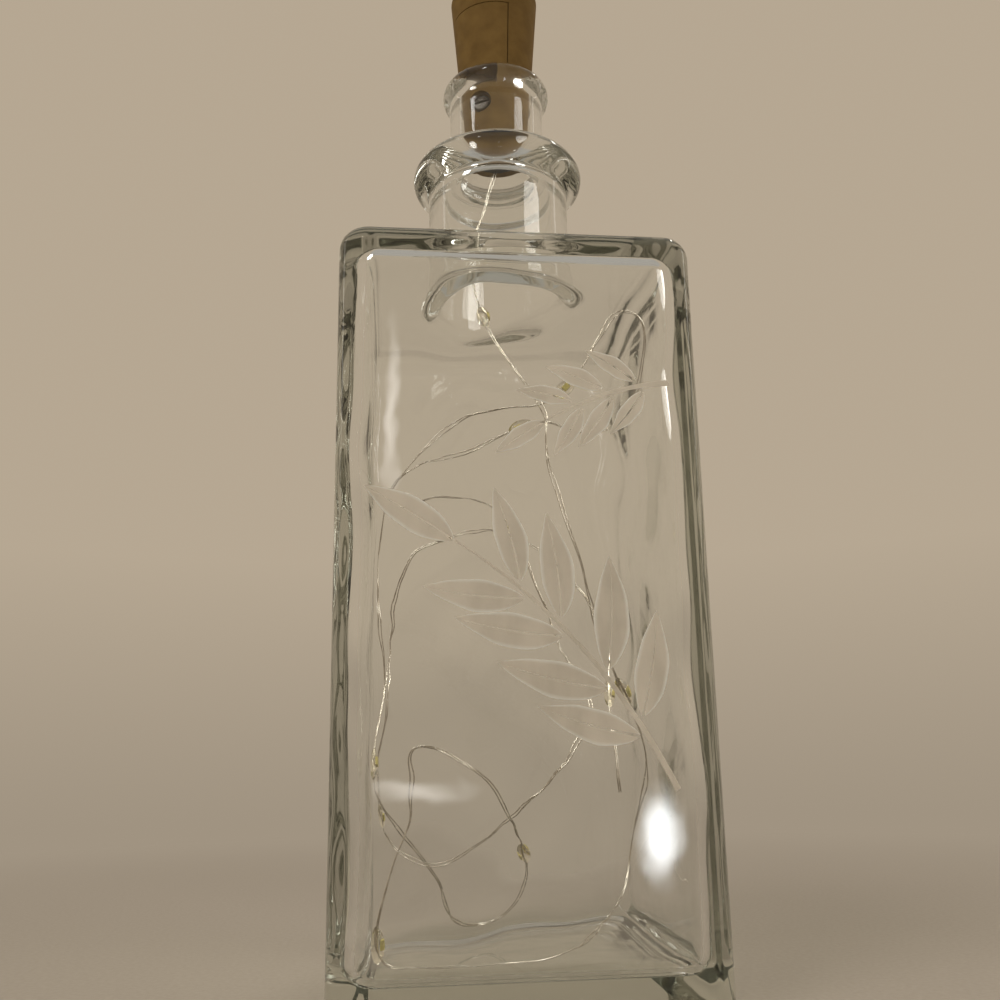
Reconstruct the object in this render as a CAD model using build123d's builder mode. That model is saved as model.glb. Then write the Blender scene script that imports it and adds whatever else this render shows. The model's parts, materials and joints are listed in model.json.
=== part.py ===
# Cork bottle light: a clear square glass bottle closed by a cork-shaped battery light.
# A fine wire with resin light drops hangs from the cork and lies in loops inside the bottle.
# Millimetres, +Z up, origin in the middle of the base, front face towards -Y.
from build123d import *
from math import cos, degrees, pi, radians, sin, tan
import os

os.makedirs("parts", exist_ok=True)

# Glass body
body_width = 70.0
body_depth = 70.0
body_height = 145.5
corner_radius = 6.0
shoulder_radius = 4.5
base_edge_radius = 3.0
side_wall = 4.0
base_thickness = 7.0
shoulder_thickness = 4.0
inner_corner_radius = 4.0
inner_shoulder_radius = 3.8
inner_floor_radius = 3.8
foot_width = 7.0
foot_recess = 1.2

# Glass neck, from the shoulder up to the mouth
neck_diameter = 32.0
neck_bore = 25.0
neck_length = 25.0
neck_root_radius = 3.0
collar_diameter = 39.0
collar_height = 8.0
throat_drop = 1.0
finish_diameter = 21.8
finish_length = 15.6
finish_root_radius = 1.5
lip_diameter = 25.0
lip_height = 5.4
mouth_edge_radius = 0.8

# Cork-shaped housing
cork_length = 44.0
cork_depth = 19.5
cork_top_diameter = 21.0
cork_bottom_diameter = 13.8
cork_edge_radius = 0.8
cork_clearance = 0.15
cap_height = 5.5
cap_edge_radius = 1.2
cap_top_thickness = 1.6
cap_spigot_depth = 0.8
cap_spigot_wall = 0.8
spigot_clearance = 0.1

# Battery cover in the side of the housing, angles measured from the front towards +X
cover_left_angle = -100.0
cover_right_angle = 14.0
cover_lift = 0.9
cover_bridge = 0.9
cover_seam = 0.2
nail_notch_left_angle = -62.0
nail_notch_right_angle = -4.0
nail_notch_height = 3.8
nail_notch_depth = 1.3

# Button cells and their contacts
cell_diameter = 11.6
cell_height = 5.4
cell_count = 3
cell_cap_diameter = 9.4
cell_cap_height = 0.35
cell_edge_radius = 0.3
cell_clearance = 0.3
contact_thickness = 0.3
contact_width = 3.0
contact_bend_radius = 0.45
contact_half_length = 4.2
contact_pad_half_length = 1.4
upper_contact_room = 1.7
lower_contact_room = 4.1

# Circuit board and slide switch under the cap
board_diameter = 15.2
board_thickness = 1.0
board_clearance = 0.2
resistor_length = 2.0
resistor_width = 1.25
resistor_height = 0.55
resistor_offset = 4.6
switch_length = 7.2
switch_width = 3.6
switch_height = 2.6
switch_wall = 0.6
slider_travel = 2.0
slider_length = 3.2
slider_foot_height = 1.2
slider_clearance = 0.1
stem_length = 1.8
stem_width = 1.6
stem_rise = 0.5
stem_clearance = 0.3
dish_length = 9.0
dish_width = 5.0
dish_depth = 0.6

# Wire outlet in the foot of the cork, and the screw that pinches it
plug_diameter = 4.4
plug_clearance = 0.05
plug_flange_diameter = 6.4
plug_flange_thickness = 0.8
plug_flange_radius = 0.4
plug_room = 2.9
lead_diameter = 0.55
lead_bend_radius = 0.85
lead_spacing = 1.2
lead_slot_width = 1.5
lead_slot_depth = 1.7
lead_groove_offset = 6.5
screw_angle = -33.0
screw_drop = 1.2
screw_seat_diameter = 5.2
screw_seat_depth = 1.6
screw_head_diameter = 3.8
screw_head_height = 1.1
screw_head_radius = 0.5
screw_diameter = 1.9
screw_clearance = 0.05
screw_slot_width = 0.5
screw_slot_depth = 0.5

# Light wire and its resin drops
wire_diameter = 0.8
arc_share = 0.45
drop_length = 6.6
drop_diameter = 2.8
chip_length = 1.6
chip_width = 0.9
chip_height = 0.6
chip_lift = 0.75

# Heights and radii that follow from the sizes above
inner_width = body_width - 2 * side_wall
inner_depth = body_depth - 2 * side_wall
inner_top = body_height - shoulder_thickness
collar_base = body_height + neck_length
collar_top = collar_base + collar_height
lip_base = collar_top + finish_length
mouth_height = lip_base + lip_height
cork_base = mouth_height - cork_depth
cork_top = cork_base + cork_length
cap_base = cork_top - cap_height
board_base = cap_base - board_thickness
cells_top = board_base - upper_contact_room
cells_base = cells_top - cell_count * cell_height
bay_floor = cells_base - lower_contact_room
plug_top = bay_floor - plug_room
wire_start = cork_base - plug_flange_thickness
cover_base = mouth_height + cover_lift
cover_top = board_base - cover_bridge
cork_slope = (cork_top_diameter - cork_bottom_diameter) / 2 / cork_length
bay_radius = cell_diameter / 2 + cell_clearance
board_seat_radius = board_diameter / 2 + board_clearance
spigot_radius = board_seat_radius + cap_spigot_wall
cover_middle_angle = (cover_left_angle + cover_right_angle) / 2
outside = cork_top_diameter


def cork_radius(height):
    """Radius of the tapered housing at a height."""
    return cork_bottom_diameter / 2 + cork_slope * (height - cork_base)


def around(angle, radius):
    """A point round the cork's axis: angle 0 is the front, and +X is to the right."""
    return (radius * sin(radians(angle)), -radius * cos(radians(angle)))


def sector(left_angle, right_angle, inner_radius):
    """A slice of a ring, from an inner radius to well outside the cork."""
    left_end = around(left_angle, outside)
    middle_end = around((left_angle + right_angle) / 2, outside)
    right_end = around(right_angle, outside)
    with BuildLine() as outline:
        Line((0, 0), left_end)
        ThreePointArc(left_end, middle_end, right_end)
        Line(right_end, (0, 0))
    make_face(outline.edges())
    Circle(inner_radius, mode=Mode.SUBTRACT)


def upright_plane(angle):
    """A plane through the cork's axis: its X points away at the angle, its Y points up."""
    away = Vector(*around(angle, 1), 0)
    return Plane(origin=(0, 0, 0), x_dir=away, z_dir=(away.Y, -away.X, 0))


def finish_piece(piece, node):
    """Name a finished piece and write it out."""
    piece.part.label = node
    export_step(piece.part, f"parts/{node}.step")


# The bore closes on the cork just below the rounded edge of the mouth.
bore_radius = cork_radius(mouth_height - mouth_edge_radius) + cork_clearance

# Space inside the bottle: the square hollow, and the neck's stepped bore
throat_base = collar_base - throat_drop
throat_radius = neck_bore / 2 - bore_radius
with BuildPart() as hollow:
    with BuildSketch(Plane.XY.offset(base_thickness)):
        RectangleRounded(inner_width, inner_depth, inner_corner_radius)
    extrude(amount=inner_top - base_thickness)
    fillet(hollow.edges().group_by(Axis.Z)[-1], radius=inner_shoulder_radius)
    fillet(hollow.edges().group_by(Axis.Z)[0], radius=inner_floor_radius)
    with BuildSketch(Plane.XZ):
        with BuildLine():
            throat_side = (neck_bore / 2, throat_base)
            throat_middle = (
                bore_radius + throat_radius * cos(pi / 4),
                throat_base + throat_radius * sin(pi / 4),
            )
            throat_end = (bore_radius, throat_base + throat_radius)
            hollow_middle = (base_thickness + inner_top) / 2
            Polyline((0, hollow_middle), (neck_bore / 2, hollow_middle), throat_side)
            ThreePointArc(throat_side, throat_middle, throat_end)
            Polyline(
                throat_end,
                (bore_radius, mouth_height + lip_height),
                (0, mouth_height + lip_height),
                (0, hollow_middle),
            )
        make_face()
    revolve(axis=Axis.Z)

# Glass bottle
with BuildPart() as bottle:
    with BuildSketch():
        RectangleRounded(body_width, body_depth, corner_radius)
    extrude(amount=body_height)
    fillet(bottle.edges().group_by(Axis.Z)[-1], radius=shoulder_radius)
    fillet(bottle.edges().group_by(Axis.Z)[0], radius=base_edge_radius)
    with BuildSketch(Plane.XZ):
        with BuildLine():
            neck_start = (neck_diameter / 2, inner_top)
            collar_start = (neck_diameter / 2, collar_base)
            collar_edge = (collar_diameter / 2, collar_base + collar_height / 2)
            collar_end = (neck_diameter / 2, collar_top)
            lip_start = (finish_diameter / 2, lip_base)
            lip_edge = (lip_diameter / 2, lip_base + lip_height / 2)
            lip_end = (finish_diameter / 2, mouth_height)
            Polyline((0, inner_top), neck_start, collar_start)
            ThreePointArc(collar_start, collar_edge, collar_end)
            Polyline(collar_end, (finish_diameter / 2, collar_top), lip_start)
            ThreePointArc(lip_start, lip_edge, lip_end)
            Polyline(lip_end, (0, mouth_height), (0, inner_top))
        make_face()
    revolve(axis=Axis.Z)
    rings = bottle.edges().filter_by(GeomType.CIRCLE)
    neck_root = rings.filter_by_position(Axis.Z, body_height, body_height)
    fillet(neck_root, radius=neck_root_radius)
    rings = bottle.edges().filter_by(GeomType.CIRCLE)
    finish_root = rings.filter_by_position(Axis.Z, collar_top, collar_top).sort_by(SortBy.RADIUS)[0]
    fillet(finish_root, radius=finish_root_radius)
    add(hollow.part, mode=Mode.SUBTRACT)
    rings = bottle.edges().filter_by(GeomType.CIRCLE)
    mouth_edge = rings.filter_by_position(Axis.Z, mouth_height, mouth_height).sort_by(SortBy.RADIUS)[0]
    fillet(mouth_edge, radius=mouth_edge_radius)
    rings = bottle.edges().filter_by(GeomType.CIRCLE)
    inner_root = rings.filter_by_position(Axis.Z, inner_top, inner_top).sort_by(SortBy.RADIUS)[-1]
    fillet(inner_root, radius=neck_root_radius)
    with BuildSketch():
        RectangleRounded(
            body_width - 2 * foot_width, body_depth - 2 * foot_width, inner_corner_radius
        )
    extrude(amount=foot_recess, mode=Mode.SUBTRACT)
finish_piece(bottle, "bottle")

# The cork's plain outer form, which the housing, the cover and the cap share
with BuildPart() as cork_form:
    with BuildSketch(Plane.XZ):
        with BuildLine():
            Polyline(
                (0, cork_base),
                (cork_bottom_diameter / 2, cork_base),
                (cork_top_diameter / 2, cork_top),
                (0, cork_top),
                close=True,
            )
        make_face()
    revolve(axis=Axis.Z)

# Cork housing with the battery bay, its side window, the wire outlet and the screw seat
screw_height = plug_top - screw_drop
screw_seat_radius = cork_radius(screw_height) - screw_seat_depth
screw_plane = Plane(
    origin=(*around(screw_angle, screw_seat_radius), screw_height),
    z_dir=(*around(screw_angle, 1), 0),
)
groove_angle = cover_middle_angle + 180
bay_plane = Plane(origin=(0, 0, cover_base), x_dir=(*around(cover_middle_angle, 1), 0))
slot_plane = Plane(origin=(0, 0, bay_floor), x_dir=(*around(groove_angle, 1), 0))
groove_place = around(groove_angle, lead_groove_offset)
with BuildPart() as cork_body:
    add(cork_form.part)
    split(bisect_by=Plane.XY.offset(cap_base), keep=Keep.BOTTOM)
    fillet(cork_body.edges().group_by(Axis.Z)[0], radius=cork_edge_radius)
    with BuildSketch(Plane.XY.offset(bay_floor)):
        Circle(bay_radius)
        with Locations(groove_place):
            Circle(lead_slot_width / 2)
    extrude(amount=board_base - bay_floor, mode=Mode.SUBTRACT)
    with BuildSketch(Plane.XY.offset(board_base)):
        Circle(board_seat_radius)
    extrude(amount=board_thickness, mode=Mode.SUBTRACT)
    with BuildSketch(Plane.XY.offset(cap_base)):
        Circle(spigot_radius + spigot_clearance)
    extrude(amount=-cap_spigot_depth - spigot_clearance, mode=Mode.SUBTRACT)
    with BuildSketch(Plane.XY.offset(cover_base - cover_seam)):
        sector(cover_left_angle, cover_right_angle, bay_radius)
    extrude(amount=cover_top - cover_base + 2 * cover_seam, mode=Mode.SUBTRACT)
    with BuildSketch(bay_plane):
        Rectangle(outside, 2 * bay_radius, align=(Align.MIN, Align.CENTER))
    extrude(amount=cover_top - cover_base, mode=Mode.SUBTRACT)
    with BuildSketch(Plane.XY.offset(cover_base - nail_notch_height)):
        notch_floor = cork_radius(cover_base - nail_notch_height) - nail_notch_depth
        sector(nail_notch_left_angle, nail_notch_right_angle, notch_floor)
    extrude(amount=nail_notch_height, mode=Mode.SUBTRACT)
    with BuildSketch(slot_plane):
        Rectangle(lead_groove_offset, lead_slot_width, align=(Align.MIN, Align.CENTER))
        with Locations((lead_groove_offset, 0)):
            Circle(lead_slot_width / 2)
    extrude(amount=-lead_slot_depth, mode=Mode.SUBTRACT)
    with BuildSketch(Plane.XY.offset(cork_base)):
        Circle(plug_diameter / 2 + plug_clearance)
    extrude(amount=plug_top - cork_base, mode=Mode.SUBTRACT)
    with BuildSketch(Plane.XY.offset(plug_top)):
        Circle(lead_spacing / 2 + lead_slot_width / 2)
    extrude(amount=plug_room, mode=Mode.SUBTRACT)
    with BuildSketch(screw_plane):
        Circle(screw_seat_diameter / 2)
    extrude(amount=2 * screw_seat_depth, mode=Mode.SUBTRACT)
    with BuildSketch(screw_plane):
        Circle(screw_diameter / 2 + screw_clearance)
    extrude(amount=-screw_seat_radius, mode=Mode.SUBTRACT)
finish_piece(cork_body, "cork_body")

# Battery cover: the piece of the housing's wall that closes the window
seam_angle = degrees(cover_seam / cork_radius(cover_base))
with BuildPart() as battery_cover:
    with BuildSketch(Plane.XY.offset(cover_base)):
        sector(
            cover_left_angle + seam_angle,
            cover_right_angle - seam_angle,
            bay_radius + cell_clearance,
        )
    extrude(amount=cover_top - cover_base)
    add(cork_form.part, mode=Mode.INTERSECT)
finish_piece(battery_cover, "battery_cover")

# Top cap with the finger dish and the switch slot
with BuildPart() as top_cap:
    add(cork_form.part)
    split(bisect_by=Plane.XY.offset(cap_base), keep=Keep.TOP)
    fillet(top_cap.edges().group_by(Axis.Z)[-1], radius=cap_edge_radius)
    with BuildSketch(Plane.XY.offset(cap_base - cap_spigot_depth)):
        Circle(spigot_radius)
    extrude(amount=cap_spigot_depth)
    with BuildSketch(Plane.XY.offset(cap_base - cap_spigot_depth)):
        Circle(board_seat_radius)
    extrude(amount=cap_spigot_depth + cap_height - cap_top_thickness, mode=Mode.SUBTRACT)
    with BuildSketch(Plane.XY.offset(cork_top)):
        SlotOverall(dish_length, dish_width)
    extrude(amount=-dish_depth, mode=Mode.SUBTRACT)
    with BuildSketch(Plane.XY.offset(cork_top)):
        Rectangle(
            stem_length + slider_travel + 2 * stem_clearance, stem_width + 2 * stem_clearance
        )
    extrude(amount=-cap_top_thickness, mode=Mode.SUBTRACT)
finish_piece(top_cap, "top_cap")

# Circuit board
with BuildPart() as circuit_board:
    with BuildSketch(Plane.XY.offset(board_base)):
        Circle(board_diameter / 2)
    extrude(amount=board_thickness)
finish_piece(circuit_board, "circuit_board")

# Resistor chip on the board
with BuildPart() as resistor:
    with BuildSketch(Plane.XY.offset(cap_base)):
        with Locations((0, resistor_offset)):
            Rectangle(resistor_length, resistor_width)
    extrude(amount=resistor_height)
finish_piece(resistor, "resistor")

# Slide switch can, open at the top for the slider's foot
pocket_length = slider_length + slider_travel + 2 * slider_clearance
pocket_width = switch_width - 2 * switch_wall
pocket_floor = cap_base + switch_height - slider_foot_height - slider_clearance
with BuildPart() as switch_body:
    with BuildSketch(Plane.XY.offset(cap_base)):
        Rectangle(switch_length, switch_width)
    extrude(amount=switch_height)
    with BuildSketch(Plane.XY.offset(pocket_floor)):
        Rectangle(pocket_length, pocket_width)
    extrude(amount=switch_height, mode=Mode.SUBTRACT)
finish_piece(switch_body, "switch_body")

# Switch slider, drawn at the off end of its travel
slider_place = -slider_travel / 2
foot_base = pocket_floor + slider_clearance
stem_top = cork_top - dish_depth + stem_rise
with BuildPart() as switch_slider:
    with BuildSketch(Plane.XY.offset(foot_base)):
        with Locations((slider_place, 0)):
            Rectangle(slider_length, pocket_width - 2 * slider_clearance)
    extrude(amount=slider_foot_height)
    with BuildSketch(Plane.XY.offset(foot_base)):
        with Locations((slider_place, 0)):
            Rectangle(stem_length, stem_width)
    extrude(amount=stem_top - foot_base)
finish_piece(switch_slider, "switch_slider")

# Button cells, stacked with their smaller caps down
for number in range(cell_count):
    cell_base = cells_base + number * cell_height
    with BuildPart() as button_cell:
        with BuildSketch(Plane.XY.offset(cell_base)):
            Circle(cell_cap_diameter / 2)
        extrude(amount=cell_height)
        with BuildSketch(Plane.XY.offset(cell_base + cell_cap_height)):
            Circle(cell_diameter / 2)
        extrude(amount=cell_height - cell_cap_height)
        can_edges = button_cell.edges().filter_by(GeomType.CIRCLE).sort_by(SortBy.RADIUS)[-2:]
        fillet(can_edges, radius=cell_edge_radius)
    finish_piece(button_cell, f"button_cell_{number + 1}")

# Upper contact: a cranked strip from the top cell to the board
upper_low = cells_top + contact_thickness / 2
upper_high = board_base - contact_thickness / 2
crank_start = contact_pad_half_length
crank_end = crank_start + upper_contact_room
with BuildPart() as positive_contact:
    with BuildSketch(upright_plane(groove_angle)):
        with BuildLine() as upper_line:
            FilletPolyline(
                (-contact_pad_half_length, upper_low),
                (crank_start, upper_low),
                (crank_end, upper_high),
                (crank_end + contact_pad_half_length, upper_high),
                radius=contact_bend_radius,
            )
        trace(line_width=contact_thickness)
    extrude(amount=contact_width / 2, both=True)
finish_piece(positive_contact, "positive_contact")

# Lower contact: a strip on the bay's floor that folds back up as a leaf spring
lower_low = bay_floor + contact_thickness / 2
lower_high = cells_base - contact_thickness / 2
fold_height = (lower_low + lower_high) / 2
with BuildPart() as negative_contact:
    with BuildSketch(upright_plane(groove_angle)):
        with BuildLine() as lower_line:
            FilletPolyline(
                (-contact_half_length, lower_low),
                (contact_half_length - contact_bend_radius, lower_low),
                (contact_half_length, fold_height),
                (contact_pad_half_length, lower_high),
                (-contact_pad_half_length, lower_high),
                radius=contact_bend_radius,
            )
        trace(line_width=contact_thickness)
    extrude(amount=contact_width / 2, both=True)
finish_piece(negative_contact, "negative_contact")

# Strain relief plug in the foot of the cork
with BuildPart() as strain_relief:
    with BuildSketch(Plane.XY.offset(wire_start)):
        Circle(plug_flange_diameter / 2)
    extrude(amount=plug_flange_thickness)
    fillet(strain_relief.edges().group_by(Axis.Z)[0], radius=plug_flange_radius)
    with BuildSketch(Plane.XY.offset(cork_base)):
        Circle(plug_diameter / 2)
    extrude(amount=plug_top - cork_base)
finish_piece(strain_relief, "strain_relief")

# Pinch screw: it bears on the plug
with BuildPart() as pinch_screw:
    with BuildSketch(screw_plane):
        Circle(screw_head_diameter / 2)
    extrude(amount=screw_head_height)
    fillet(pinch_screw.edges().sort_by_distance(screw_plane.origin)[-1], radius=screw_head_radius)
    with BuildSketch(screw_plane.offset(screw_head_height)):
        Rectangle(screw_head_diameter, screw_slot_width)
    extrude(amount=-screw_slot_depth, mode=Mode.SUBTRACT)
    with BuildSketch(screw_plane):
        Circle(screw_diameter / 2)
    extrude(amount=-(screw_seat_radius - plug_diameter / 2 - screw_clearance))
finish_piece(pinch_screw, "pinch_screw")

# Inner leads from the plug: one up the groove to the board, one straight to the lower contact
lead_start = Vector(*around(groove_angle, lead_spacing / 2), plug_top)
lead_level = bay_floor - lead_slot_depth / 2
with BuildPart() as lead_positive:
    with BuildLine():
        FilletPolyline(
            lead_start,
            (lead_start.X, lead_start.Y, lead_level),
            (*groove_place, lead_level),
            (*groove_place, board_base),
            radius=lead_bend_radius,
        )
    with BuildSketch(Plane(origin=lead_start, z_dir=(0, 0, 1))):
        Circle(lead_diameter / 2)
    sweep()
finish_piece(lead_positive, "lead_positive")

with BuildPart() as lead_negative:
    with BuildSketch(Plane.XY.offset(plug_top)):
        with Locations(around(groove_angle, -lead_spacing / 2)):
            Circle(lead_diameter / 2)
    extrude(amount=bay_floor - plug_top)
finish_piece(lead_negative, "lead_negative")

# Route of the light wire, from the plug down the neck and round the inside of the bottle
route = [
    Vector(0.0, 0.0, wire_start),
    Vector(0.0, 0.0, 166.5),
    Vector(-5.0, -5.0, 152.0),
    Vector(-7.0, -10.0, 140.5),
    Vector(-4.5, -18.0, 129.5),
    Vector(1.0, -23.0, 117.5),
    Vector(6.0, -26.0, 109.0),
    Vector(4.5, -27.5, 100.5),
    Vector(7.5, -27.5, 90.5),
    Vector(11.0, -27.0, 80.0),
    Vector(13.0, -26.0, 70.5),
    Vector(16.0, -23.0, 61.5),
    Vector(24.5, -14.0, 50.5),
    Vector(28.0, -2.0, 42.0),
    Vector(27.0, 8.0, 30.0),
    Vector(26.0, 6.0, 18.0),
    Vector(18.0, -5.0, 11.0),
    Vector(8.5, -20.0, 9.0),
    Vector(-5.5, -25.5, 9.0),
    Vector(-19.0, -25.5, 9.0),
    Vector(-26.5, -26.0, 10.0),
    Vector(-26.5, -27.5, 17.5),
    Vector(-24.5, -27.5, 25.0),
    Vector(-21.0, -27.5, 32.0),
    Vector(-20.5, -27.5, 39.0),
    Vector(-19.5, -27.0, 45.5),
    Vector(-14.0, -26.5, 47.5),
    Vector(-8.5, -24.5, 42.0),
    Vector(-4.0, -20.0, 36.0),
    Vector(0.0, -12.0, 30.5),
    Vector(3.0, 1.0, 23.0),
    Vector(1.5, 13.0, 14.0),
    Vector(-4.5, 17.0, 10.0),
    Vector(-11.5, 12.0, 11.5),
    Vector(-14.0, 3.0, 19.0),
    Vector(-17.5, -6.0, 25.0),
    Vector(-23.5, -15.0, 32.5),
    Vector(-28.0, -20.0, 39.0),
    Vector(-27.5, -14.0, 48.5),
    Vector(-24.5, -9.0, 59.5),
    Vector(-27.0, -11.0, 71.0),
    Vector(-27.5, -9.0, 83.5),
    Vector(-26.0, -12.0, 94.0),
    Vector(-20.5, -16.0, 102.0),
    Vector(-11.5, -19.0, 109.5),
    Vector(-1.5, -20.0, 112.0),
    Vector(7.0, -19.0, 112.5),
    Vector(14.5, -20.0, 121.0),
    Vector(18.5, -20.5, 128.5),
    Vector(22.0, -21.5, 133.0),
    Vector(27.0, -21.0, 132.0),
    Vector(28.0, -19.5, 126.0),
    Vector(27.0, -14.0, 117.5),
    Vector(23.5, -5.0, 112.5),
    Vector(17.0, 3.0, 113.0),
    Vector(10.0, 8.0, 118.5),
    Vector(0.5, 8.0, 113.0),
    Vector(-10.5, 10.0, 110.5),
    Vector(-20.5, 14.0, 108.5),
    Vector(-25.5, 20.0, 103.0),
    Vector(-22.5, 27.0, 100.0),
    Vector(-12.0, 28.0, 104.5),
    Vector(2.0, 27.0, 106.0),
    Vector(7.0, 24.0, 89.0),
    Vector(13.0, 20.0, 73.0),
    Vector(21.0, 13.0, 57.0),
    Vector(12.0, 10.0, 42.0),
    Vector(-2.0, 17.0, 29.0),
    Vector(-15.0, 24.0, 20.0),
    Vector(-25.5, 25.5, 25.0),
    Vector(-27.5, 19.0, 38.5),
    Vector(-25.0, 15.0, 54.0),
    Vector(-23.0, 21.0, 69.0),
    Vector(-24.5, 17.0, 85.0),
    Vector(-11.0, 13.5, 93.0),
    Vector(6.0, 13.0, 94.0),
    Vector(17.0, 7.0, 80.0),
    Vector(22.0, -1.0, 65.0),
    Vector(19.0, -6.5, 50.5),
    Vector(20.5, -10.0, 37.0),
]
# The runs of the route, counted from the plug, whose middles carry a light drop
drop_runs = [3, 11, 20, 29, 37, 46, 55, 62, 69, 77]

# Light wire: straight runs joined by the largest arcs that they allow
runs = [end - start for start, end in zip(route, route[1:])]
bend_radii = []
for before, after in zip(runs, runs[1:]):
    half_turn = radians(before.get_angle(after)) / 2
    bend_radii.append(arc_share * min(before.length, after.length) / tan(half_turn))
with BuildPart() as light_wire:
    with BuildLine() as wire_line:
        FilletPolyline(*route, radius=bend_radii)
    with BuildSketch(Plane(origin=route[0], z_dir=runs[0])):
        Circle(wire_diameter / 2)
    sweep()
finish_piece(light_wire, "light_wire")
wire_length = wire_line.wire().length
wire_volume = wire_length * pi * wire_diameter**2 / 4
print("wire bend radii", [round(radius, 1) for radius in bend_radii])
print(f"wire length {wire_length:.1f}, solid to section volume {light_wire.part.volume / wire_volume:.4f}")

# Resin drops along the wire, each with its light chip inside
for number, run in enumerate(drop_runs, start=1):
    drop_middle = (route[run] + route[run + 1]) / 2
    cross_plane = Plane(origin=drop_middle, z_dir=runs[run])
    long_plane = Plane(origin=drop_middle, x_dir=runs[run], z_dir=cross_plane.x_dir)
    with BuildPart() as led_chip:
        with BuildSketch(long_plane):
            with Locations((0, chip_lift)):
                Rectangle(chip_length, chip_height)
        extrude(amount=chip_width / 2, both=True)
    finish_piece(led_chip, f"led_chip_{number:02d}")
    with BuildPart() as led_drop:
        with BuildSketch(long_plane):
            with BuildLine():
                EllipticalCenterArc((0, 0), drop_length / 2, drop_diameter / 2, arc_size=180)
                Line((-drop_length / 2, 0), (drop_length / 2, 0))
            make_face()
        revolve(axis=Axis(drop_middle, runs[run]))
        add(led_chip.part, mode=Mode.SUBTRACT)
        add(light_wire.part, mode=Mode.SUBTRACT)
    finish_piece(led_drop, f"led_drop_{number:02d}")
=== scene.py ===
# Looks of the cork bottle light: clear glass, a cork-brown plastic light and its fine silver wire.
# Metres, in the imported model's frame: +Z up, the bottle's front face towards -Y.
import json
from math import atan2, cos, pi, radians, sin

import bpy
from mathutils import Matrix, Vector


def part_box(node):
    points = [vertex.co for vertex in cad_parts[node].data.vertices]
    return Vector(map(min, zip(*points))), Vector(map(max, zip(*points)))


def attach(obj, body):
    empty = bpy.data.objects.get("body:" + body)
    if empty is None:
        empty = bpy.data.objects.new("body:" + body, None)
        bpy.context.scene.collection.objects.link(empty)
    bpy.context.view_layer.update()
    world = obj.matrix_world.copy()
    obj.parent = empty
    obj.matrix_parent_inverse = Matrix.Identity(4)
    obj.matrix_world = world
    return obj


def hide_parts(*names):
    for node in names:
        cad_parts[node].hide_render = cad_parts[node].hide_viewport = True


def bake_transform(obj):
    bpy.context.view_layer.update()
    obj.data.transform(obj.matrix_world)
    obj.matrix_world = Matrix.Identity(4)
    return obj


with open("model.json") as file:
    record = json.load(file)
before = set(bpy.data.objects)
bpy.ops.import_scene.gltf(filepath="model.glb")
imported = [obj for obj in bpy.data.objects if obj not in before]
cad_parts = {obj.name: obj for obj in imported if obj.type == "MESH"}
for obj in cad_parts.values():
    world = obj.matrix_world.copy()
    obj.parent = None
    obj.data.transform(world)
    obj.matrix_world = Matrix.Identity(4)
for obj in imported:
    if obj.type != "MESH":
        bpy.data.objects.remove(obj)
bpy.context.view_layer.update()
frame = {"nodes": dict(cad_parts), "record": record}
scene = bpy.context.scene
MM = 0.001


# Camera, at the photograph's viewing angle
CAMERA_PLACE = Vector((-0.02623, -0.21966, 0.0439))
CAMERA_AIM = Vector((-0.00481, -0.035, 0.08967))
CAMERA_ROLL = -1.08
CAMERA_LENS = 37.75
CAMERA_SENSOR = 36.0
CAMERA_NEAR = 0.01


def add_camera():
    """A camera that looks from its place at its aim, turned a little about its own axis."""
    data = bpy.data.cameras.new("camera")
    data.lens = CAMERA_LENS
    data.sensor_width = CAMERA_SENSOR
    data.clip_start = CAMERA_NEAR
    camera = bpy.data.objects.new("camera", data)
    turn = (CAMERA_AIM - CAMERA_PLACE).to_track_quat("-Z", "Y").to_matrix()
    roll = Matrix.Rotation(radians(CAMERA_ROLL), 3, "Z")
    camera.matrix_world = Matrix.Translation(CAMERA_PLACE) @ (turn @ roll).to_4x4()
    scene.collection.objects.link(camera)
    scene.camera = camera


add_camera()


# Shader helpers
UNSTRETCHED = (1.0, 1.0, 1.0)
MOTTLE_DETAIL = 4.0
GLOSS_DETAIL = 3.0
GLOSS_FINENESS = 2.3
RELIEF_DETAIL = 2.0
RELIEF_FINENESS = 4.0


def new_material(name):
    """A node material, with its Principled shader."""
    material = bpy.data.materials.new(name)
    material.use_nodes = True
    return material, material.node_tree.nodes["Principled BSDF"]


def noise(material, scale, detail, stretch=UNSTRETCHED):
    """A noise pattern over the surface, with so many bumps a metre."""
    tree = material.node_tree
    place = tree.nodes.new("ShaderNodeTexCoord")
    mapping = tree.nodes.new("ShaderNodeMapping")
    mapping.inputs["Scale"].default_value = stretch
    texture = tree.nodes.new("ShaderNodeTexNoise")
    texture.inputs["Scale"].default_value = scale
    texture.inputs["Detail"].default_value = detail
    tree.links.new(place.outputs["Object"], mapping.inputs["Vector"])
    tree.links.new(mapping.outputs["Vector"], texture.inputs["Vector"])
    return texture.outputs["Fac"]


def ramp(material, factor, low, high, start=0.3, end=0.7):
    """A colour, or a grey level, that runs from low to high as the pattern rises."""
    tree = material.node_tree
    node = tree.nodes.new("ShaderNodeValToRGB")
    for stop, place, value in zip(node.color_ramp.elements, (start, end), (low, high)):
        stop.position = place
        stop.color = (*value, 1.0) if isinstance(value, tuple) else (value, value, value, 1.0)
    tree.links.new(factor, node.inputs["Fac"])
    return node.outputs["Color"]


def bump(material, shader, height, distance):
    """Fine relief from a pattern, at full strength."""
    tree = material.node_tree
    node = tree.nodes.new("ShaderNodeBump")
    node.inputs["Strength"].default_value = 1.0
    node.inputs["Distance"].default_value = distance
    tree.links.new(height, node.inputs["Height"])
    tree.links.new(node.outputs["Normal"], shader.inputs["Normal"])


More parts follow.
